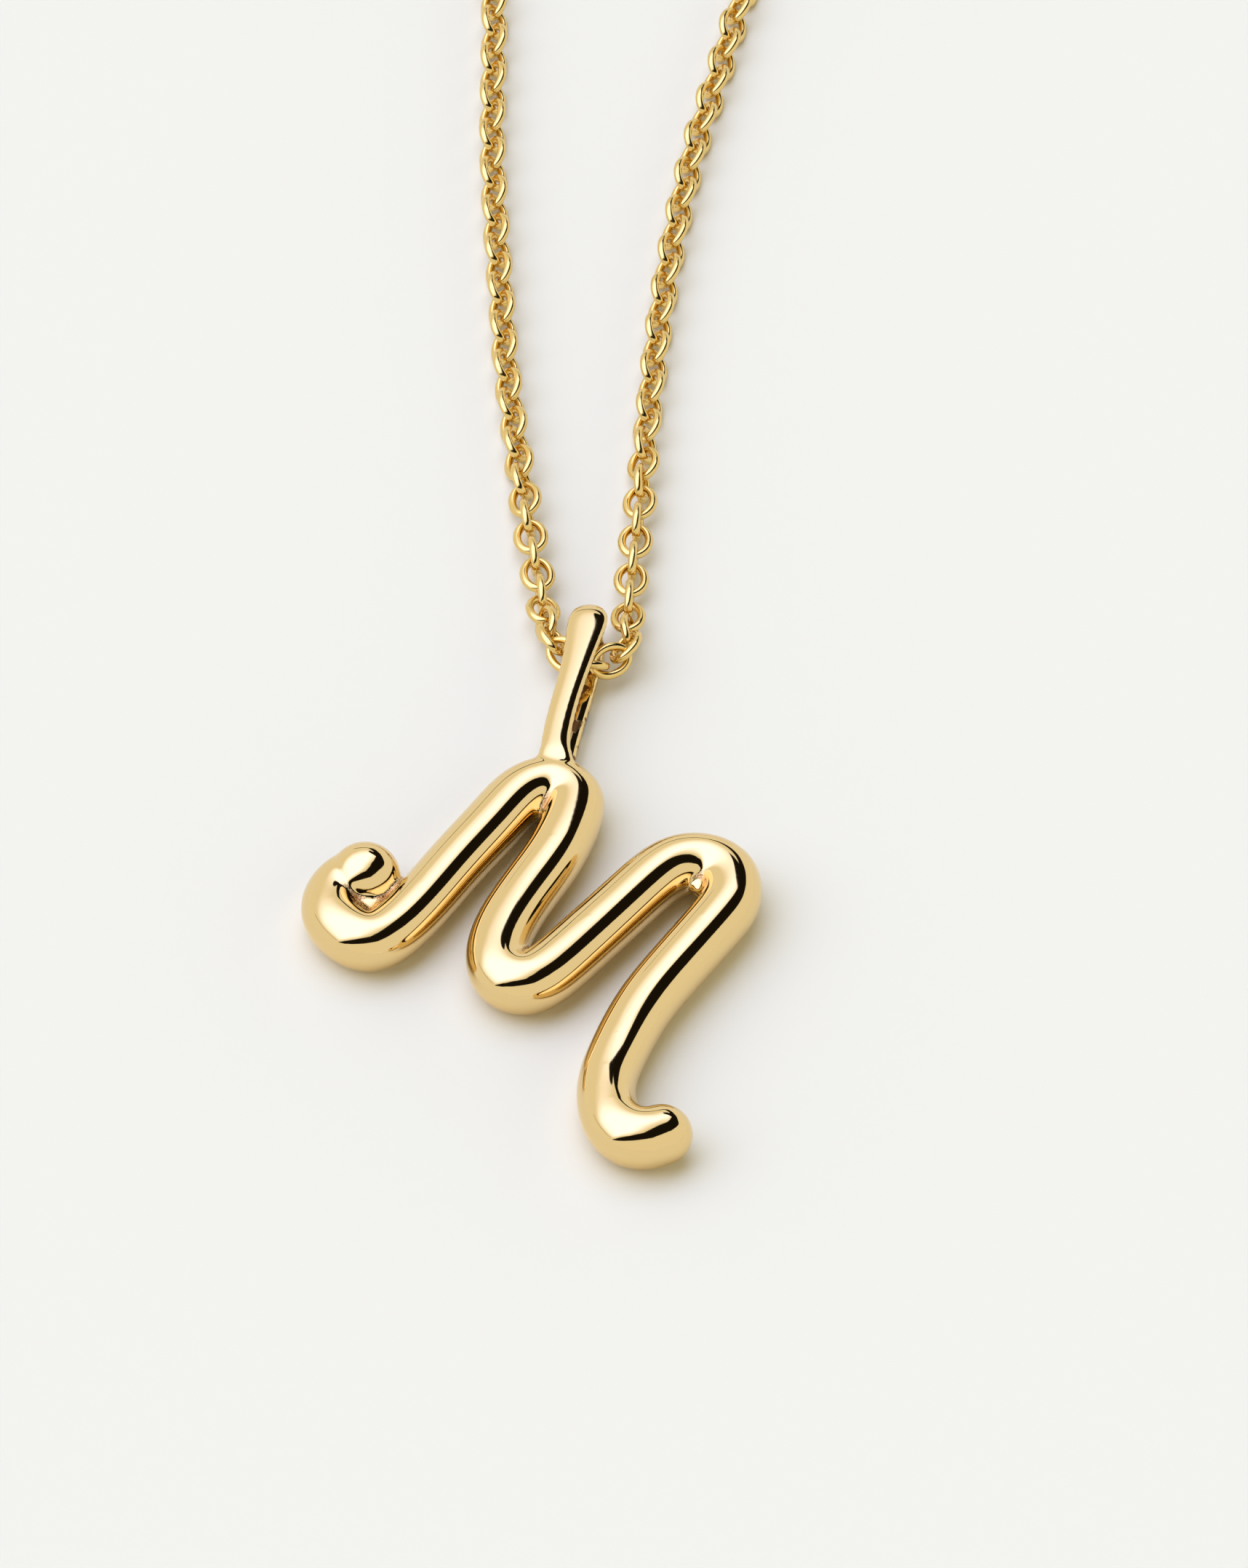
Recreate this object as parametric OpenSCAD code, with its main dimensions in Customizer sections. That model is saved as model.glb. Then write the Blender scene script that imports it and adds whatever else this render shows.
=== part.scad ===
// An initial pendant on a fine cable chain, lying flat with its chain in a loop away from it.
// Millimetres. +Z is up and the chain runs away from the initial along +Y.

/* [Initial] */
// Width of the initial over its stroke
letter_w = 22.3; // [20:0.1:26]
// Height of the initial over its stroke
letter_h = 26.6; // [24:0.1:30]
// Thickness of the round stroke
stroke_d = 2.95; // [2.6:0.05:3.1]
// Diameter of the ball that the stroke starts in
ball_d = 3.05; // [2.95:0.05:3.3]
// How far the ball is raised off the surface
ball_rise = 0.45; // [0.1:0.05:0.6]

/* [Bail] */
// Length of the bail from the middle of the first hump's stroke to its far end
bail_l = 12.0; // [10:0.1:14]
// How far the bail's far end leans to the right
bail_lean = 1.6; // [0:0.05:2]
// How far the lower strap lies to the right of the upper one
bail_skew = 0.15; // [0:0.05:0.4]
// Width of the bail's strap along its middle
bail_w = 1.45; // [1.2:0.05:1.8]
// Width of the strap before it turns over the chain
bail_end_w = 2.05; // [1.6:0.05:2.2]
// Width of the strap at its rounded far tip
bail_tip_w = 1.1; // [0.9:0.05:1.4]
// Thickness of the strap
bail_t = 0.65; // [0.55:0.05:0.8]
// Free height over the chain inside the bail
bail_room = 0.2; // [0.15:0.05:0.6]
// Gap between the chain and the bail's lower strap
bail_gap = 0.12; // [0.1:0.01:0.2]
// How far the chain crosses inside the bail's far end
chain_inset = 3.5; // [3.3:0.05:4.5]

/* [Chain] */
// Length of one link
link_l = 2.35; // [2.3:0.01:2.45]
// Width of one link
link_w = 1.74; // [1.7:0.01:1.8]
// Thickness of a link's wire
wire_d = 0.39; // [0.36:0.01:0.41]
// Gap left between each link and the next along the strands
link_gap = 0.12; // [0.11:0.01:0.16]
// Gap left between every second link where the chain bunches up in the bail
bunch_gap = 0.07; // [0.05:0.01:0.1]
// Number of links over which the bunched chain spreads out again on the left
bunch_left = 8; // [4:1:12]
// Number of links over which it spreads out again on the right
bunch_right = 6; // [4:1:12]
// How far the link in the bail lies to the right of its middle
chain_shift = 0.15; // [0:0.05:0.3]
// Number of loose links on each side of the one in the bail
strand_links = 38; // [30:1:40]

/* [Clasp] */
// Outer diameter of the clasp's ring
clasp_d = 6.0; // [5:0.1:8]
// Thickness of the clasp's ring
clasp_t = 0.9; // [0.8:0.05:0.95]
// Gap between the clasp and each end of the chain
clasp_gap = 0.15; // [0.1:0.01:0.3]

/* [Hidden] */

// The stroke's centre line from the curled ball to the tail.
// Columns: share of the width, share of the height, share of the thickness.
STROKE = [
    [0.088, 0.725, 1.02], [0.045, 0.735, 0.96], [0.001, 0.690, 0.93], [-0.003, 0.630, 0.96],
    [0.040, 0.575, 1.00], [0.095, 0.550, 0.99], [0.150, 0.575, 0.99], [0.225, 0.660, 1.00],
    [0.305, 0.770, 1.00], [0.390, 0.875, 1.00], [0.455, 0.960, 1.00], [0.510, 0.995, 1.00],
    [0.560, 1.000, 0.99], [0.600, 0.970, 0.98], [0.605, 0.925, 0.98], [0.560, 0.805, 1.00],
    [0.485, 0.690, 1.00], [0.430, 0.590, 1.02], [0.410, 0.510, 1.02], [0.425, 0.455, 1.02],
    [0.475, 0.430, 1.03], [0.530, 0.450, 1.04], [0.615, 0.535, 1.04], [0.720, 0.645, 1.02],
    [0.810, 0.740, 1.02], [0.875, 0.775, 1.02], [0.940, 0.775, 1.00], [0.990, 0.740, 1.00],
    [0.995, 0.670, 1.00], [0.950, 0.600, 1.00], [0.855, 0.480, 0.99], [0.770, 0.365, 0.98],
    [0.710, 0.240, 0.96], [0.685, 0.165, 0.96], [0.685, 0.090, 0.98], [0.715, 0.025, 1.02],
    [0.770, 0.000, 1.03], [0.820, 0.015, 1.00]
];

// Places where the casting has filled a tight bend.
// Columns: share of the width, share of the height, width and height of the fill as shares of the thickness.
FILLS = [
    [0.063, 0.704, 1.40, 1.08], [0.085, 0.640, 0.95, 0.45], [0.168, 0.690, 0.70, 0.30],
    [0.545, 0.935, 0.50, 0.35], [0.925, 0.715, 0.50, 0.35]
];

// The bail's strap from its upper foot to where it turns over the chain. The lower strap lies under it in the
// same way, but keeps its plain width.
// Columns: share of the length, share of the lean, share of the way from the foot's height to the strap's,
// share of the way from the strap's width to the end's.
STRAP = [
    [0.00, 0.00, 0.0, 0.90], [0.06, 0.00, 0.4, 0.70], [0.10, 0.00, 0.9, 0.30], [0.14, 0.01, 1.0, 0.05],
    [0.21, 0.05, 1.0, 0.00], [0.32, 0.18, 1.0, 0.00], [0.44, 0.36, 1.0, 0.00], [0.57, 0.58, 1.0, 0.15],
    [0.69, 0.76, 1.0, 0.45], [0.82, 0.94, 1.0, 1.00]
];

// The chain's way round over the surface, seen from above. It starts inside the bail, goes up the right
// strand, round the neck and down the left strand. The points stay as chosen.
ROUTE = [
    [-2.0, -59.6], [-0.8, -59.5], [0.0, -58.7], [0.25, -57.4], [0.2, -55.9], [0.3, -54.0], [0.5, -51.2],
    [0.8, -47.5], [1.1, -42.8], [1.5, -37.5], [2.0, -32.2], [2.7, -26.8], [3.6, -21.3], [4.8, -15.8],
    [6.0, -10.2], [7.6, -4.0], [11.2, 5.0], [18.0, 15.5], [27.5, 27.0], [38.5, 40.5], [46.5, 54.0],
    [49.5, 67.5], [45.0, 79.5], [33.0, 87.0], [17.5, 89.8],
    [0.0, 90.3],
    [-17.5, 89.8], [-33.0, 87.0], [-45.0, 79.5], [-49.5, 67.5], [-46.5, 54.0], [-38.5, 40.5], [-27.5, 27.0],
    [-17.5, 15.0], [-10.0, 4.5], [-7.2, -4.0], [-6.7, -10.2], [-6.7, -15.8], [-6.7, -21.3], [-6.5, -26.8],
    [-6.2, -32.2], [-5.9, -37.5], [-5.4, -42.8], [-4.9, -47.5], [-4.5, -51.1], [-4.1, -54.0], [-3.9, -56.1],
    [-3.6, -57.6], [-3.0, -58.9]
];

gold = [0.83, 0.66, 0.33];
ball_sides = 14;
strap_sides = 12;
link_sides = 10;
wire_sides = 5;
tube_sides = 8;
curve_steps = 6;

// Sizes that follow from the driving ones
path_w = letter_w - stroke_d;
path_h = letter_h - stroke_d;
link_tilt = 45;
pitch = link_l - 2 * wire_d - link_gap;
bunched_pitch = (link_l + bunch_gap) / 2;
strand_h = (link_w - wire_d) * sin(link_tilt) + wire_d;
bail_h = 2 * bail_t + bail_gap + strand_h + bail_room;

// A smooth curve through points, with a number of steps from each point to the next
function bend(a, b, c, d, t) = 0.5 * (2 * b + (c - a) * t + (2 * a - 5 * b + 4 * c - d) * t * t
    + (3 * b - a - 3 * c + d) * t * t * t);
function smooth(p, steps) = [
    for (i = [0 : len(p) - 2], k = [0 : steps - 1])
        bend(p[max(i - 1, 0)], p[i], p[i + 1], p[min(i + 2, len(p) - 1)], k / steps),
    p[len(p) - 1]
];
function smooth_loop(p, steps) = let(n = len(p)) [
    for (i = [0 : n - 1], k = [0 : steps - 1])
        bend(p[(i + n - 1) % n], p[i], p[(i + 1) % n], p[(i + 2) % n], k / steps),
    p[0]
];

// The distance along a line of points at each of its points, and a table of one coordinate against it
function distances(p) = [for (i = 0, s = 0; i < len(p);
    s = s + (i + 1 < len(p) ? norm(p[i + 1] - p[i]) : 0), i = i + 1) s];
function column(p, c, s) = [for (i = [0 : len(p) - 1]) [s[i], p[i][c]]];

// A tube through rings of points, closed at both ends
function flat(rings) = [for (r = rings) each r];
function walls(n, sides) = [for (i = [0 : n - 2], k = [0 : sides - 1])
    let(j = (k + 1) % sides)
    each [
        [i * sides + k, (i + 1) * sides + k, (i + 1) * sides + j],
        [i * sides + k, (i + 1) * sides + j, i * sides + j]
    ]];
module tube(rings) {
    n = len(rings);
    sides = len(rings[0]);
    ends = [[for (k = [0 : sides - 1]) k], [for (k = [sides - 1 : -1 : 0]) (n - 1) * sides + k]];
    polyhedron(points = flat(rings), faces = concat(walls(n, sides), ends));
}

// The initial: a ball that runs along the stroke's centre line, with a raised ball where it starts
function stroke_point(row) = [
    row[0] * path_w, row[1] * path_h, row[2] * stroke_d / 2, row[2] * stroke_d / 2
];
module ball(p) {
    translate([p[0], p[1], p[2]]) sphere(r = p[3], $fn = ball_sides);
}
module letter() {
    line = smooth([for (row = STROKE) stroke_point(row)], 2);
    for (i = [0 : len(line) - 2]) hull() {
        ball(line[i]);
        ball(line[i + 1]);
    }
    start = line[0];
    translate([start[0], start[1], ball_rise + ball_d / 2]) sphere(d = ball_d, $fn = ball_sides);
    for (row = FILLS) translate([row[0] * path_w, row[1] * path_h, max(row[3], 1) * stroke_d / 2])
        scale([row[2], row[2], row[3]]) sphere(d = stroke_d, $fn = ball_sides);
}

// The bail: a strap that leaves the back of the first hump, turns over the chain and comes back under itself
bail_foot = [0.555 * path_w, path_h];
foot_rise = 0.35 * stroke_d;
strap_rise = (bail_h - bail_t) / 2;
function strap_point(row, side) = [
    row[1] * bail_lean + (side < 0 ? bail_skew : 0),
    row[0] * bail_l,
    (1 - row[2]) * (stroke_d / 2 + side * foot_rise) + row[2] * (bail_h / 2 + side * strap_rise),
    side < 0 ? bail_w : bail_w + (bail_end_w - bail_w) * row[3]
];
function strap_way() =
    let(turn_y = bail_l - bail_t / 2 - strap_rise)
    concat(
        [for (row = STRAP) strap_point(row, 1)],
        [for (a = [90 : -22.5 : -90]) [
            bail_lean + bail_skew * (90 - a) / 180,
            turn_y + strap_rise * cos(a),
            bail_h / 2 + strap_rise * sin(a),
            let(w = a > 0 ? bail_end_w : bail_w) w - (w - bail_tip_w) * cos(a)
        ]],
        [for (i = [len(STRAP) - 1 : -1 : 0]) strap_point(STRAP[i], -1)]
    );
function strap_ring(p, ahead) =
    let(t = ahead / norm(ahead), side = [1, 0, 0] - t[0] * t, x = side / norm(side), z = cross(t, x))
    [for (k = [0 : strap_sides - 1])
        let(a = 360 * k / strap_sides, c = cos(a), s = sin(a))
        [p[0], p[1], p[2]]
            + x * (p[3] / 2 * sign(c) * pow(abs(c), 0.9))
            + z * (bail_t / 2 * sign(s) * pow(abs(s), 0.9))];
module bail() {
    way = strap_way();
    n = len(way);
    places = [for (p = way) [p[0], p[1], p[2]]];
    tube([for (i = [0 : n - 1]) strap_ring(way[i], places[min(i + 1, n - 1)] - places[max(i - 1, 0)])]);
}

// The pendant lies so that its bail takes the chain where the route starts
over_chain = [
    bail_lean * lookup(1 - chain_inset / bail_l, [for (row = STRAP) [row[0], row[1]]]) + bail_skew / 2,
    bail_l - chain_inset
];
module pendant() {
    corner = ROUTE[0] - bail_foot - over_chain;
    color(gold) translate([corner[0], corner[1], 0]) {
        letter();
        translate([bail_foot[0], bail_foot[1], 0]) bail();
    }
}

// One link, lying along X with its width along Y
function link_ring(a) =
    let(r = (link_w - wire_d) / 2, shift = (link_l - link_w) / 2,
        centre = [sign(cos(a)) * shift + r * cos(a), r * sin(a), 0], out = [cos(a), sin(a), 0])
    [for (k = [0 : wire_sides - 1])
        let(b = 360 * k / wire_sides)
        centre + wire_d / 2 * (cos(b) * out + [0, 0, sin(b)])];
module link() {
    rings = [for (i = [0 : link_sides - 1]) link_ring(360 * i / link_sides)];
    polyhedron(
        points = flat(rings),
        faces = [for (i = [0 : link_sides - 1], k = [0 : wire_sides - 1])
            let(j = (i + 1) % link_sides, m = (k + 1) % wire_sides)
            each [
                [i * wire_sides + k, j * wire_sides + m, j * wire_sides + k],
                [i * wire_sides + k, i * wire_sides + m, j * wire_sides + m]
            ]]
    );
}

// The chain's centre line at a distance from the bail: more than nought up the right strand, less up the left.
// Beside the bail the chain rolls, so that every second link lies flat and the others stand on edge. Farther
// up, the left strand rolls on and the right one rolls back, over the same length.
near_bail = 1.5;
roll_run = 5;
roll_on = 7;
roll_back = 10;
far_run = 12;
function ease(t) = (1 - cos(180 * min(max(t, 0), 1))) / 2;
function roll(s) = link_tilt * ease((abs(s) - near_bail) / roll_run)
    + link_tilt * (s < 0 ? ease((-s - roll_on) / far_run) : -ease((s - roll_back) / far_run));

// It lies on the surface and rises over the bail's lower strap, over a run that is so many times the rise.
rise_run = 5;
way = smooth_loop(ROUTE, curve_steps);
way_s = distances(way);
way_x = column(way, 0, way_s);
way_y = column(way, 1, way_s);
way_l = way_s[len(way_s) - 1];
rise_h = bail_t + bail_gap;
rise_flat = bail_end_w;
function rise(d) = rise_h * (1 - ease((d - rise_flat) / (rise_run * rise_h)));
function chain_h(s) = (link_w - wire_d) * max([for (t = [-link_tilt, link_tilt]) abs(sin(roll(s) + t))]) + wire_d;
function chain_at(s) =
    let(d = s < 0 ? s + way_l : s, away = d > way_l / 2 ? d - way_l : d)
    [lookup(d, way_x), lookup(d, way_y), chain_h(away) / 2 + rise(abs(away))];
function chain_ahead(s, reach) = let(a = chain_at(s + reach) - chain_at(s - reach)) a / norm(a);

// Links are numbered from the one in the bail, and lie closer together there
function link_s(i) =
    let(n = abs(i), spread = i < 0 ? bunch_left : bunch_right)
    chain_shift + sign(i) * (pitch * n - (pitch - bunched_pitch) * spread * (1 - exp(-n / spread)));
module chain_front() {
    color(gold) for (i = [-strand_links : strand_links]) {
        here = chain_at(link_s(i));
        t = chain_ahead(link_s(i), pitch / 2);
        side = cross([0, 0, 1], t) / norm(cross([0, 0, 1], t));
        tilt = roll(link_s(i)) + (abs(i) % 2 == 0 ? -link_tilt : link_tilt);
        w = cos(tilt) * side + sin(tilt) * cross(t, side);
        n = cross(t, w);
        multmatrix([
            [t[0], w[0], n[0], here[0]],
            [t[1], w[1], n[1], here[1]],
            [t[2], w[2], n[2], here[2]]
        ]) link();
    }
}

// The rest of the chain is a plain tube of the strand's height, from the last loose links to the clasp
far_y = max([for (p = ROUTE) p[1]]);
clasp_i = search(far_y, ROUTE, 1, 1)[0];
clasp_s = way_s[clasp_i * curve_steps];
tube_step = 4 * strand_h;
function tube_ring(s) =
    let(p = chain_at(s), t = chain_ahead(s, strand_h / 2), side = [-t[1], t[0], 0],
        r = strand_h / 2 / cos(180 / tube_sides))
    [for (k = [0 : tube_sides - 1])
        let(a = 360 * (k + 0.5) / tube_sides)
        p + r * (cos(a) * side + [0, 0, sin(a)])];
module chain_tube(from, to) {
    n = ceil((to - from) / tube_step);
    tube([for (i = [0 : n]) tube_ring(from + (to - from) * i / n)]);
}
module chain_back() {
    last_end = link_l / 2 + link_gap;
    clasp_side = clasp_d / 2 + clasp_gap;
    color(gold) {
        chain_tube(link_s(strand_links) + last_end, clasp_s - clasp_side);
        chain_tube(clasp_s + clasp_side, way_l + link_s(-strand_links) - last_end);
    }
}

module clasp() {
    at = ROUTE[clasp_i];
    color(gold) translate([at[0], at[1], clasp_t / 2])
        rotate_extrude($fn = 48) translate([(clasp_d - clasp_t) / 2, 0]) circle(d = clasp_t, $fn = 24);
}

pendant();
chain_front();
chain_back();
clasp();
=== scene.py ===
# An initial pendant on a fine cable chain, lying on a pale surface with the chain in a loop away from it.
# The part's own frame: +Z is up and the chain runs away from the initial along +Y. Pieces are drawn in
# millimetres and brought to metres when they are finished.
import math

import bpy
import numpy as np
from mathutils import Matrix, Vector


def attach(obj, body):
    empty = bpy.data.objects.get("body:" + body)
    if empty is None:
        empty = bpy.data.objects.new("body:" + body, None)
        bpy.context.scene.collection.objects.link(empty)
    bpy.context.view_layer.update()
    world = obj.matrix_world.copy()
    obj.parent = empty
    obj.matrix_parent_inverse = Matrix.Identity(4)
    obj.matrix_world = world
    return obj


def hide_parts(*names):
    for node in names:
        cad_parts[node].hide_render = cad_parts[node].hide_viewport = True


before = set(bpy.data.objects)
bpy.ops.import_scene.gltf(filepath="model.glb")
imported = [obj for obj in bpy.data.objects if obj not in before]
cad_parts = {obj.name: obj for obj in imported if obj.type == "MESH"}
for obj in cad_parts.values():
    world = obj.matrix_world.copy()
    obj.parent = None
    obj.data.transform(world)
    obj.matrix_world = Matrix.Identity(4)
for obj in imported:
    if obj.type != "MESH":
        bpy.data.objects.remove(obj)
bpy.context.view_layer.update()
bpy.ops.object.select_all(action="DESELECT")
MM = 0.001

# The view: a long lens looks down at 45 degrees on the initial and the lowest part of the chain.
view_elevation = math.radians(45)
view_distance = 650 * MM
view_target = Vector((0, -68, 1.5)) * MM
view_back = Vector((0, -math.cos(view_elevation), math.sin(view_elevation)))
bpy.ops.object.camera_add(location=view_target + view_distance * view_back)
camera = bpy.context.object
camera.name = "camera"
camera.rotation_euler = (-view_back).to_track_quat("-Z", "Y").to_euler()
camera.data.sensor_width = 36
camera.data.lens = 308
camera.data.clip_start = 0.01
camera.data.clip_end = 20
bpy.context.scene.camera = camera
bpy.context.scene.view_settings.view_transform = "Standard"


# The surface: a wide smooth white sheet, just off white, that the necklace lies on.
class Value:
    """A node's output socket that can be used in sums, so that a pattern is written as one expression."""

    def __init__(self, paint, socket):
        self.paint = paint
        self.socket = socket

    def math(self, operation, *others):
        return self.paint.node("ShaderNodeMath", {"operation": operation}, dict(enumerate((self, *others))))

    def __add__(self, other):
        return self.math("ADD", other)

    __radd__ = __add__

    def __mul__(self, other):
        return self.math("MULTIPLY", other)

    __rmul__ = __mul__

    def __sub__(self, other):
        return self.math("SUBTRACT", other)

    def __rsub__(self, other):
        return self * -1 + other

    def __truediv__(self, other):
        return self.math("DIVIDE", other)

    def rise(self, low, high):
        """0 below low and 1 above high, with a smooth rise between them."""
        inputs = {"Value": self, "From Min": low, "From Max": high}
        return self.paint.node("ShaderNodeMapRange", {"interpolation_type": "SMOOTHSTEP"}, inputs)


class Paint:
    """The nodes of one material or of the world."""

    def __init__(self, owner):
        owner.use_nodes = True
        self.tree = owner.node_tree

    def node(self, kind, settings, inputs, output=0):
        made = self.tree.nodes.new(kind)
        for name, value in settings.items():
            setattr(made, name, value)
        for name, value in inputs.items():
            self.feed(made.inputs[name], value)
        return Value(self, made.outputs[output])

    def feed(self, socket, value):
        """Gives a socket a number or colour, or links a value to it."""
        if isinstance(value, Value):
            self.tree.links.new(value.socket, socket)
        else:
            socket.default_value = value

    def mix(self, share, first, second):
        """A colour that goes from first to second."""
        inputs = {0: share, 6: first, 7: second}
        return self.node("ShaderNodeMix", {"data_type": "RGBA"}, inputs, 2)

    def shader(self, **inputs):
        shader = next(n for n in self.tree.nodes if n.type == "BSDF_PRINCIPLED")
        for name, value in inputs.items():
            self.feed(shader.inputs[name.replace("_", " ")], value)


surface_size = 8
bpy.ops.mesh.primitive_plane_add(size=surface_size, location=(0, 0, 0))
floor = bpy.context.object
floor.name = "surface"
surface = bpy.data.materials.new("white_surface")
Paint(surface).shader(Base_Color=(0.925, 0.88, 0.625, 1), Roughness=0.75, Specular_IOR_Level=0.2)
floor.data.materials.append(surface)

# The light: a wide soft box overhead and to the left, cool and brightest in its middle, in a white room.
# Black cards along its right and near edges show in the gold as a dark line beside its highlight. A place
# in the room is how far a look leans to the right and away from the viewer as it rises by one.
wall_white = (0.92, 0.91, 0.88, 1)
box_white = (1.8, 1.95, 3.1, 1)
card_black = (0.010, 0.008, 0.006, 1)
card_edge = 0.03
horizon = 0.05
card_foot = 0.12
world = bpy.data.worlds.new("studio")
bpy.context.scene.world = world
room = Paint(world)
look = room.node("ShaderNodeTexCoord", {}, {}, "Generated")
look_x = room.node("ShaderNodeSeparateXYZ", {}, {"Vector": look}, 0)
look_y = room.node("ShaderNodeSeparateXYZ", {}, {"Vector": look}, 1)
look_z = room.node("ShaderNodeSeparateXYZ", {}, {"Vector": look}, 2)
over = look_z.math("MAXIMUM", horizon)
right = look_x / over
away = look_y / over


def card(start, end):
    """How much of a look falls on a long card with round ends. Each end has its place and its half width."""
    step = (end[0] - start[0], end[1] - start[1])
    length = math.hypot(*step)
    along = (right - start[0]) * (step[0] / length) + (away - start[1]) * (step[1] / length)
    share = along.math("MAXIMUM", 0).math("MINIMUM", length) / length
    off_x = right - start[0] - share * step[0]
    off_y = away - start[1] - share * step[1]
    off = (off_x * off_x + off_y * off_y).math("SQRT") - share * (end[2] - start[2])
    return 1 - off.rise(start[2] - card_edge, start[2] + card_edge)


box_right = (0.35 + 0.6 * away - right).rise(0, 0.5)
box_near = (away + 0.55 - 0.47 * right).rise(0, 0.4)
box_back = (1.55 - away + 0.15 * right).rise(0, 1.1)
box_left = (right + 4).rise(0, 3.2)
in_box = box_right * box_near * box_back * box_left
black = card((-1.00, 2.80, 0.10), (0.45, 2.40, 0.20))
for start, end in (
    ((0.45, 2.40, 0.20), (0.95, 1.50, 0.40)),
    ((0.95, 1.50, 0.40), (1.15, 0.68, 0.52)),
    ((0.38, 1.15, 0.20), (0.85, 1.00, 0.35)),
    ((1.15, 0.68, 0.52), (0.98, 0.38, 0.48)),
    ((0.98, 0.38, 0.48), (0.72, -0.05, 0.38)),
    ((0.72, -0.05, 0.38), (0.52, -0.38, 0.34)),
    ((0.52, -0.38, 0.34), (0.28, -0.68, 0.32)),
    ((0.28, -0.68, 0.32), (-0.15, -0.90, 0.29)),
    ((-0.15, -0.90, 0.29), (-2.60, -2.05, 0.24)),
    ((-2.60, -2.05, 0.24), (-5.00, -3.05, 0.12)),
    ((-4.20, -2.00, 0.12), (-4.20, 1.40, 0.12)),
):
    black = black.math("MAXIMUM", card(start, end))
black = black * look_z.rise(horizon, card_foot)
walls = room.mix(in_box, wall_white, box_white)
lit = room.mix(black, walls, card_black)
background = next(n for n in room.tree.nodes if n.type == "BACKGROUND")
room.feed(background.inputs["Color"], lit)
room.feed(background.inputs["Strength"], 1.0)

# The initial: cast in gold as one round, mirror-polished stroke that starts in a curled ball, bends down, up,
# down, up and down again and ends in a hooked tail. Its tight bends keep the grain of the casting, and their
# gold is painted a darker red-brown there as painted shade. It lies where its bail takes the chain, so the
# bail's length and lean are given here.
letter_w = 22.3
letter_h = 26.6
stroke_d = 2.95
ball_d = 3.5
ball_left = 0.09
path_w = letter_w - stroke_d
path_h = letter_h - stroke_d
# Columns: share of the width, share of the height, share of the thickness.
STROKE = [
    (0.088, 0.725, 1.02), (0.045, 0.735, 0.96), (0.001, 0.690, 0.93), (-0.003, 0.630, 0.96),
    (0.040, 0.575, 1.00), (0.095, 0.550, 0.99), (0.150, 0.575, 0.99), (0.225, 0.660, 1.00),
    (0.305, 0.770, 1.00), (0.390, 0.875, 1.00), (0.455, 0.960, 1.00), (0.510, 0.995, 1.00),
    (0.560, 1.000, 0.99), (0.600, 0.970, 0.98), (0.605, 0.925, 0.98), (0.560, 0.805, 1.00),
    (0.485, 0.690, 1.00), (0.430, 0.590, 1.02), (0.410, 0.510, 1.02), (0.425, 0.455, 1.02),
    (0.475, 0.430, 1.03), (0.530, 0.450, 1.04), (0.615, 0.535, 1.04), (0.720, 0.645, 1.02),
    (0.810, 0.740, 1.02), (0.875, 0.775, 1.02), (0.940, 0.775, 1.00), (0.990, 0.740, 1.00),
    (0.995, 0.670, 1.00), (0.950, 0.600, 1.00), (0.855, 0.480, 0.99), (0.770, 0.365, 0.98),
    (0.710, 0.240, 0.96), (0.685, 0.165, 0.96), (0.685, 0.090, 0.98), (0.715, 0.025, 1.02),
    (0.770, 0.000, 1.03), (0.820, 0.015, 1.00),
]
# Columns: share of the width, share of the height, width and height of the fill as shares of the thickness.
FILLS = [
    (0.085, 0.640, 0.95, 0.45), (0.168, 0.690, 0.70, 0.30), (0.545, 0.935, 0.50, 0.35),
    (0.925, 0.715, 0.50, 0.35),
]
bail_l = 12.0
bail_lean = 1.6
bail_skew = 0.15
bail_foot = np.array([0.555 * path_w, path_h])
chain_inset = 3.5
# Columns: share of the length, share of the lean, share of the way from the foot's height to the strap's,
# share of the way from the strap's width to the end's.
STRAP = [
    (0.00, 0.00, 0.0, 0.90), (0.06, 0.00, 0.4, 0.70), (0.10, 0.00, 0.9, 0.30), (0.14, 0.01, 1.0, 0.05),
    (0.21, 0.05, 1.0, 0.00), (0.32, 0.18, 1.0, 0.00), (0.44, 0.36, 1.0, 0.00), (0.57, 0.58, 1.0, 0.15),
    (0.69, 0.76, 1.0, 0.45), (0.82, 0.94, 1.0, 1.00),
]
chain_start = np.array([-2.0, -59.6])
lean_there = np.interp(1 - chain_inset / bail_l, [row[0] for row in STRAP], [row[1] for row in STRAP])
over_chain = np.array([bail_lean * lean_there + bail_skew / 2, bail_l - chain_inset])
corner = chain_start - bail_foot - over_chain


def add_ball(place, size):
    """A smooth ball or egg of that size, drawn on its own."""
    bpy.ops.mesh.primitive_uv_sphere_add(segments=48, ring_count=24, radius=0.5, location=place)
    bpy.context.object.scale = size
    bpy.ops.object.transform_apply(location=True, rotation=False, scale=True)
    return bpy.context.object


def join(parts, name):
    """Makes one object of several."""
    bpy.ops.object.select_all(action="DESELECT")
    for part in parts:
        part.select_set(True)
    bpy.context.view_layer.objects.active = parts[0]
    bpy.ops.object.join()
    parts[0].name = name
    return parts[0]


def finish_modifier(piece, kind, **settings):
    """Adds one modifier to a piece and applies it."""
    modifier = piece.modifiers.new(kind.lower(), kind)
    for name, value in settings.items():
        setattr(modifier, name, value)
    bpy.context.view_layer.objects.active = piece
    bpy.ops.object.modifier_apply(modifier=modifier.name)


def bend(a, b, c, d, t):
    """A place on the smooth curve between b and c."""
    square = (2 * a - 5 * b + 4 * c - d) * t ** 2
    cube = (3 * b - a - 3 * c + d) * t ** 3
    return 0.5 * (2 * b + (c - a) * t + square + cube)


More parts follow.
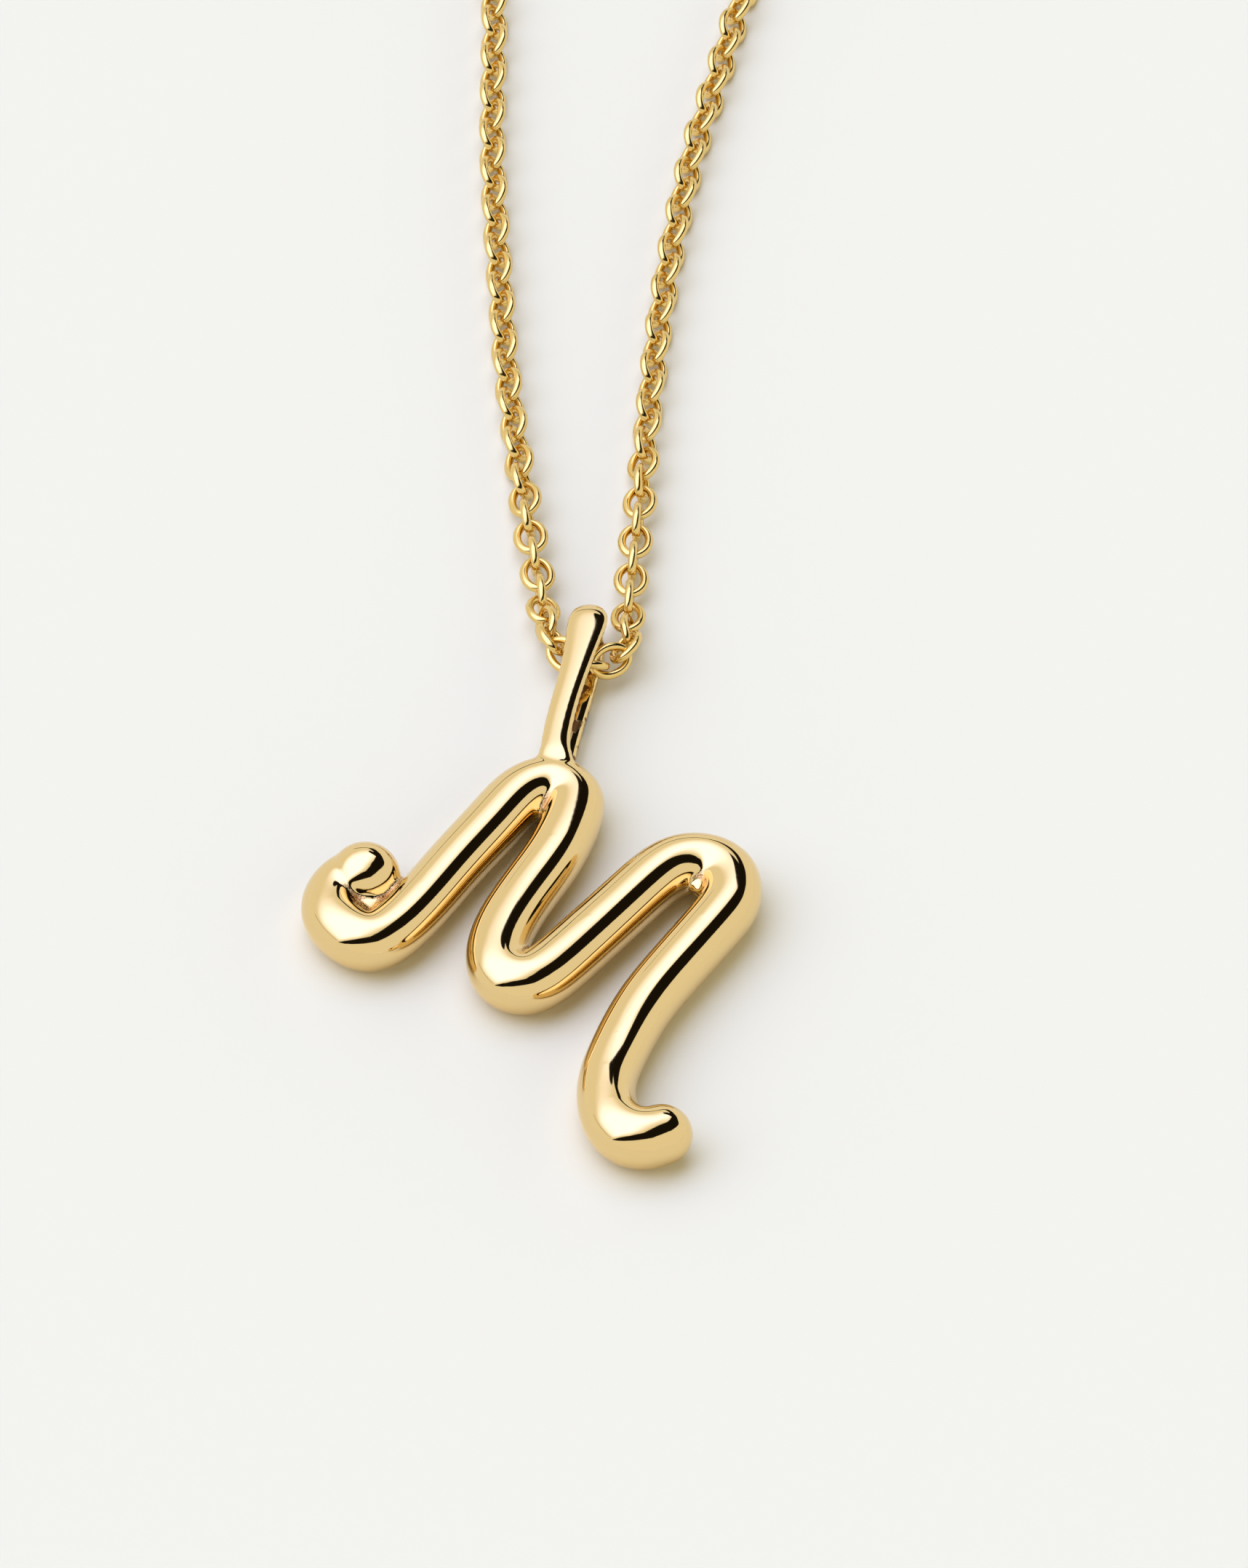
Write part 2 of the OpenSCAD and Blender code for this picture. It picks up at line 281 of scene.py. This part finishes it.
def smooth_way(rows, steps, passes):
    """A smooth line of places through rows of coordinates, whose own small kinks are evened out."""
    padded = np.array([rows[0], *rows, rows[-1]])
    places = [bend(*padded[i:i + 4], k / steps) for i in range(len(rows) - 1) for k in range(steps)]
    places = np.array([*places, padded[-1]])
    for _ in range(passes):
        places[1:-1] = (places[:-2] + 2 * places[1:-1] + places[2:]) / 4
    return places


stroke_rows = [
    (corner[0] + across * path_w, corner[1] + up * path_h, thick * stroke_d / 2)
    for across, up, thick in STROKE
]
stroke_way = smooth_way(stroke_rows, 8, 18)
bpy.ops.curve.primitive_nurbs_path_add(location=(0, 0, 0))
stroke = bpy.context.object
stroke_line = stroke.data.splines[0]
stroke_line.type = "POLY"
stroke_line.points.add(len(stroke_way) - len(stroke_line.points))
for point, (x, y, radius) in zip(stroke_line.points, stroke_way):
    point.co = (x, y, radius, 1)
    point.radius = radius
stroke.data.bevel_depth = 1
stroke.data.bevel_resolution = 14
bpy.ops.object.convert(target="MESH")
letter_parts = [bpy.context.object]
for end in (stroke_way[0], stroke_way[-1]):
    letter_parts.append(add_ball(end, (2 * end[2], 2 * end[2], 2 * end[2])))
ball_place = (stroke_way[0][0] - ball_left, stroke_way[0][1], ball_d / 2)
letter_parts.append(add_ball(ball_place, (ball_d, ball_d, ball_d)))
for across, up, width_share, height_share in FILLS:
    fill_z = max(height_share, 1) * stroke_d / 2
    fill_place = (corner[0] + across * path_w, corner[1] + up * path_h, fill_z)
    fill_size = (width_share * stroke_d, width_share * stroke_d, height_share * stroke_d)
    letter_parts.append(add_ball(fill_place, fill_size))

# The bail: a flat gold strap, rounded over its faces, that leaves the back of the first hump, turns over the
# chain and comes back under itself. Both feet are soldered to the hump with a soft fillet.
bail_w = 1.45
bail_end_w = 2.05
bail_tip_w = 1.1
bail_t = 0.65
bail_gap = 0.12
bail_room = 0.2
link_w = 1.74
wire_d = 0.39
link_tilt = math.radians(45)
strand_h = (link_w - wire_d) * math.sin(link_tilt) + wire_d
bail_h = 2 * bail_t + bail_gap + strand_h + bail_room
foot_rise = 0.35 * stroke_d
strap_rise = (bail_h - bail_t) / 2
turn_y = bail_l - bail_t / 2 - strap_rise


def strap_place(row, side):
    """Where the strap's middle is and how wide it is there, on its upper side (1) or its lower one (-1)."""
    flat = bail_h / 2 + side * strap_rise
    foot = stroke_d / 2 + side * foot_rise
    skew = bail_skew if side < 0 else 0
    width = bail_w if side < 0 else bail_w + (bail_end_w - bail_w) * row[3]
    return (row[1] * bail_lean + skew, row[0] * bail_l, foot + row[2] * (flat - foot), width)


strap_way = [strap_place(row, 1) for row in STRAP]
for angle in range(90, -91, -15):
    turned = math.radians(angle)
    lean = bail_lean + bail_skew * (90 - angle) / 180
    width = bail_end_w if angle > 0 else bail_w
    width -= (width - bail_tip_w) * math.cos(turned)
    turn_z = bail_h / 2 + strap_rise * math.sin(turned)
    strap_way.append((lean, turn_y + strap_rise * math.cos(turned), turn_z, width))
strap_way += [strap_place(row, -1) for row in reversed(STRAP)]
strap_way = smooth_way(strap_way, 4, 8)
strap_origin = Vector((corner[0] + bail_foot[0], corner[1] + bail_foot[1], 0))
strap_places = [strap_origin + Vector(p[:3]) for p in strap_way]
strap_widths = [p[3] for p in strap_way]


def strap_slope(i):
    """How far the strap's way has turned in its upright plane at a place, from lying along +Y."""
    ahead = strap_places[min(i + 1, len(strap_places) - 1)] - strap_places[max(i - 1, 0)]
    return math.atan2(ahead.z, ahead.y)


bpy.ops.mesh.primitive_circle_add(
    vertices=32, radius=0.5, fill_type="NGON", location=strap_places[0],
    rotation=(math.radians(90) + strap_slope(0), 0, 0),
)
strap = bpy.context.object
strap.scale = (strap_widths[0], bail_t, 1)
bpy.ops.object.transform_apply(location=True, rotation=True, scale=True)
bpy.ops.object.mode_set(mode="EDIT")
bpy.ops.mesh.select_all(action="SELECT")
for i in range(1, len(strap_places)):
    step = strap_places[i] - strap_places[i - 1]
    widening = strap_widths[i] / strap_widths[i - 1]
    turn = strap_slope(i) - strap_slope(i - 1)
    turn = (turn + math.pi) % (2 * math.pi) - math.pi
    bpy.ops.mesh.extrude_region_move(TRANSFORM_OT_translate={"value": step})
    bpy.ops.transform.rotate(value=-turn, orient_axis="X", center_override=strap_places[i])
    bpy.ops.transform.resize(value=(widening, 1, 1), center_override=strap_places[i])
bpy.ops.mesh.select_all(action="SELECT")
bpy.ops.mesh.normals_make_consistent(inside=False)
bpy.ops.object.mode_set(mode="OBJECT")

pendant = join([*letter_parts, strap], "initial_and_bail")
finish_modifier(pendant, "REMESH", mode="VOXEL", voxel_size=0.105, adaptivity=0, use_smooth_shade=True)
finish_modifier(pendant, "SMOOTH", factor=0.5, iterations=16)


# The gold of the initial, with the grain that is left in its hollows. Its hollows are also painted a darker
# red-brown, which is painted shade. The bail stays polished, and only the inside of its lower strap, below
# the upper strap's height, has dark brown spots. The places where these start are in metres.
def neighbour_mean(mesh, values):
    """The mean of what each vertex's neighbours hold."""
    edges = np.zeros(2 * len(mesh.edges), np.int32)
    mesh.edges.foreach_get("vertices", edges)
    a, b = edges.reshape(-1, 2).T
    count = len(mesh.vertices)
    links = np.bincount(a, minlength=count) + np.bincount(b, minlength=count)
    sums = [np.bincount(a, v[b], count) + np.bincount(b, v[a], count) for v in values.T]
    return np.stack(sums, 1) / links[:, None]


def mark_hollows(piece, spread, depth):
    """Writes how hollow the surface is, from 0 to 1, as the attribute hollow."""
    mesh = piece.data
    places = np.zeros(3 * len(mesh.vertices), np.float32)
    mesh.vertices.foreach_get("co", places)
    normals = np.zeros(3 * len(mesh.vertices), np.float32)
    mesh.vertex_normals.foreach_get("vector", normals)
    places = places.reshape(-1, 3)
    spread_out = places.copy()
    for _ in range(spread):
        spread_out = (spread_out + neighbour_mean(mesh, spread_out)) / 2
    risen = ((spread_out - places) * normals.reshape(-1, 3)).sum(1)
    hollow = mesh.attributes.new("hollow", "FLOAT", "POINT")
    hollow.data.foreach_set("value", np.clip(risen / depth, 0, 1).astype(np.float32))


mark_hollows(pendant, 24, 0.11)
bright_gold = (0.83, 0.615, 0.28, 1)
raw_gold_and_painted_shade = (0.50, 0.22, 0.06, 1)
under_strap_spot_brown = (0.20, 0.10, 0.03, 1)
letter_far_y = -0.0690
spots_near_y = -0.0665
spots_top_z = 0.0011
gold = bpy.data.materials.new("polished_gold")
paint = Paint(gold)
place = paint.node("ShaderNodeTexCoord", {}, {}, "Object")
hollow = paint.node("ShaderNodeAttribute", {"attribute_name": "hollow"}, {}, "Fac")
grain = paint.node("ShaderNodeTexNoise", {}, {"Vector": place, "Scale": 9000, "Detail": 4})
sheen = paint.node("ShaderNodeTexNoise", {}, {"Vector": place, "Scale": 900, "Detail": 3})
place_y = paint.node("ShaderNodeSeparateXYZ", {}, {"Vector": place}, 1)
place_z = paint.node("ShaderNodeSeparateXYZ", {}, {"Vector": place}, 2)
# In the letter's hollows the gold gets grain and roughness, and its colour is painted darker red-brown:
# painted shade.
grain_and_painted_shade = hollow.rise(0.25, 0.8) * (letter_far_y - place_y).rise(0, 0.0008)
# Dark brown spots, set by noise, on the lower strap where it lies below the upper strap's height.
in_bail = (place_y - spots_near_y).rise(0, 0.001) * (spots_top_z - place_z).rise(0, 0.0003)
under_strap_spots = in_bail * sheen.rise(0.5, 0.56)
bump = paint.node("ShaderNodeBump", {}, {"Height": grain * grain_and_painted_shade, "Distance": 0.00012, "Strength": 0.8})
cast_gold_and_painted_shade = paint.mix(grain_and_painted_shade, bright_gold, raw_gold_and_painted_shade)
paint.shader(
    Base_Color=paint.mix(under_strap_spots, cast_gold_and_painted_shade, under_strap_spot_brown),
    Metallic=1.0,
    Roughness=0.035 + sheen * 0.03 + grain_and_painted_shade * grain * 0.5 + under_strap_spots * 0.3,
    Normal=bump,
)


def finish_piece(piece, material, node):
    """Brings a piece to metres and gives it its gold and its place in the frame."""
    bpy.ops.object.select_all(action="DESELECT")
    piece.select_set(True)
    bpy.context.view_layer.objects.active = piece
    piece.scale = (MM, MM, MM)
    bpy.ops.object.transform_apply(location=True, rotation=True, scale=True)
    bpy.ops.object.shade_smooth()
    piece.data.materials.clear()
    piece.data.materials.append(material)
    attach(piece, "root")
    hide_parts(node)


finish_piece(pendant, gold, "pendant")

# The chain: fine round gold wire in nearly round links, each soldered shut and turned a quarter from the
# next. It is bunched where it hangs in the bail. Its route starts inside the bail, goes up the right strand,
# round the neck and down the left strand.
link_l = 2.35
drawn_wire_d = 0.42
link_gap = 0.12
bunch_gap = 0.07
pitch = link_l - 2 * wire_d - link_gap
bunched_pitch = (link_l + bunch_gap) / 2
bunch_left = 8
bunch_right = 6
chain_shift = 0.15
strand_links = 38
clasp_place = (0.0, 90.3)
ROUTE = [
    (-2.0, -59.6), (-0.8, -59.5), (0.0, -58.7), (0.25, -57.4), (0.2, -55.9), (0.3, -54.0), (0.5, -51.2),
    (0.8, -47.5), (1.1, -42.8), (1.5, -37.5), (2.0, -32.2), (2.7, -26.8), (3.6, -21.3), (4.8, -15.8),
    (6.0, -10.2), (7.6, -4.0), (11.2, 5.0), (18.0, 15.5), (27.5, 27.0), (38.5, 40.5), (46.5, 54.0),
    (49.5, 67.5), (45.0, 79.5), (33.0, 87.0), (17.5, 89.8),
    clasp_place,
    (-17.5, 89.8), (-33.0, 87.0), (-45.0, 79.5), (-49.5, 67.5), (-46.5, 54.0), (-38.5, 40.5), (-27.5, 27.0),
    (-17.5, 15.0), (-10.0, 4.5), (-7.2, -4.0), (-6.7, -10.2), (-6.7, -15.8), (-6.7, -21.3), (-6.5, -26.8),
    (-6.2, -32.2), (-5.9, -37.5), (-5.4, -42.8), (-4.9, -47.5), (-4.5, -51.1), (-4.1, -54.0), (-3.9, -56.1),
    (-3.6, -57.6), (-3.0, -58.9),
]
rise_h = bail_t + bail_gap
rise_run = 5
near_bail = 1.5
roll_run = 5
roll_on = 7
roll_back = 10
far_run = 12
curve_steps = 6


def ease(t):
    """0 before 0 and 1 after 1, with a smooth way between them."""
    return (1 - math.cos(math.pi * min(max(t, 0), 1))) / 2


route = np.array(ROUTE)
count = len(route)
way = np.array([
    bend(route[i - 1], route[i], route[(i + 1) % count], route[(i + 2) % count], k / curve_steps)
    for i in range(count) for k in range(curve_steps)
] + [route[0]])
way_s = np.concatenate([[0], np.cumsum(np.linalg.norm(np.diff(way, axis=0), axis=1))])
way_l = way_s[-1]
clasp_s = way_s[ROUTE.index(clasp_place) * curve_steps]


def roll(s):
    """How far the chain has rolled at a distance from the bail, up the right strand or, below 0, up the left.

    Beside the bail every second link lies flat. Farther up, the left strand rolls on and the right one back.
    """
    farther = ease((-s - roll_on) / far_run) if s < 0 else -ease((s - roll_back) / far_run)
    return link_tilt * (ease((abs(s) - near_bail) / roll_run) + farther)


def chain_at(s):
    """The chain's centre at a distance along it from the bail."""
    d = s % way_l
    s = d if d < way_l / 2 else d - way_l
    height = wire_d + (link_w - wire_d) * max(abs(math.sin(roll(s) + t)) for t in (-link_tilt, link_tilt))
    rise = rise_h * (1 - ease((abs(s) - bail_end_w) / (rise_run * rise_h)))
    return Vector((np.interp(d, way_s, way[:, 0]), np.interp(d, way_s, way[:, 1]), height / 2 + rise))


def link_s(i):
    """How far along the chain a link lies, counted from the one in the bail."""
    n = abs(i)
    spread = bunch_left if i < 0 else bunch_right
    bunched = (pitch - bunched_pitch) * spread * (1 - math.exp(-n / spread))
    return chain_shift + math.copysign(pitch * n - bunched, i)


def draw_link(steps, bevel_steps):
    """One oval link of round wire, lying along X."""
    bpy.ops.object.select_all(action="DESELECT")
    bpy.ops.curve.primitive_bezier_circle_add(radius=1)
    drawn = bpy.context.object
    for point in drawn.data.splines[0].bezier_points:
        point.handle_left_type = "ALIGNED"
        point.handle_right_type = "ALIGNED"
    drawn.scale = ((link_l - wire_d) / 2, (link_w - wire_d) / 2, 1)
    bpy.ops.object.transform_apply(location=True, rotation=True, scale=True, properties=False)
    drawn.data.resolution_u = steps
    drawn.data.bevel_depth = drawn_wire_d / 2
    drawn.data.bevel_resolution = bevel_steps
    bpy.ops.object.convert(target="MESH")
    return bpy.context.object


def lay_links(drawn, places, name):
    """Copies of one link along the chain, turned one way and the other in turn, joined as one piece."""
    copies = []
    for number, s in places:
        here = chain_at(s)
        ahead = (chain_at(s + pitch / 2) - chain_at(s - pitch / 2)).normalized()
        side = Vector((0, 0, 1)).cross(ahead).normalized()
        tilt = roll(s) + (-link_tilt if number % 2 == 0 else link_tilt)
        across = math.cos(tilt) * side + math.sin(tilt) * ahead.cross(side)
        turned = Matrix((ahead, across, ahead.cross(across))).transposed().to_4x4()
        copy = bpy.data.objects.new(name, drawn.data.copy())
        bpy.context.scene.collection.objects.link(copy)
        copy.data.transform(Matrix.Translation(here) @ turned)
        copies.append(copy)
    bpy.data.objects.remove(drawn)
    return join(copies, name)


chain_gold = bpy.data.materials.new("chain_gold")
paint = Paint(chain_gold)
place = paint.node("ShaderNodeTexCoord", {}, {}, "Object")
sheen = paint.node("ShaderNodeTexNoise", {}, {"Vector": place, "Scale": 1500, "Detail": 3})
paint.shader(Base_Color=(0.82, 0.585, 0.20, 1), Metallic=1.0, Roughness=0.10 + sheen * 0.08)

front_places = [(i, link_s(i)) for i in range(-strand_links, strand_links + 1)]
front = lay_links(draw_link(8, 4), front_places, "chain_front_links")
finish_piece(front, chain_gold, "chain_front")

# The rest of the chain: the same links, soldered shut, round the back of the neck's loop. The last one on
# each side hangs in the clasp's ring.
clasp_d = 6.0
last_reach = clasp_d / 2 + 0.2
back_places = []
for side in (1, -1):
    first = abs(link_s(side * strand_links))
    stretch = (clasp_s if side > 0 else way_l - clasp_s) - last_reach - first
    links = round(stretch / pitch)
    for k in range(1, links + 1):
        back_places.append((strand_links + k, side * (first + k * stretch / links)))
back = lay_links(draw_link(3, 1), back_places, "chain_back_links")
finish_piece(back, chain_gold, "chain_back")

# The clasp: one plain ring of round gold wire that closes the chain behind the neck. It keeps the part's
# own shape.
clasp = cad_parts["clasp"]
clasp.data.materials.clear()
clasp.data.materials.append(chain_gold)
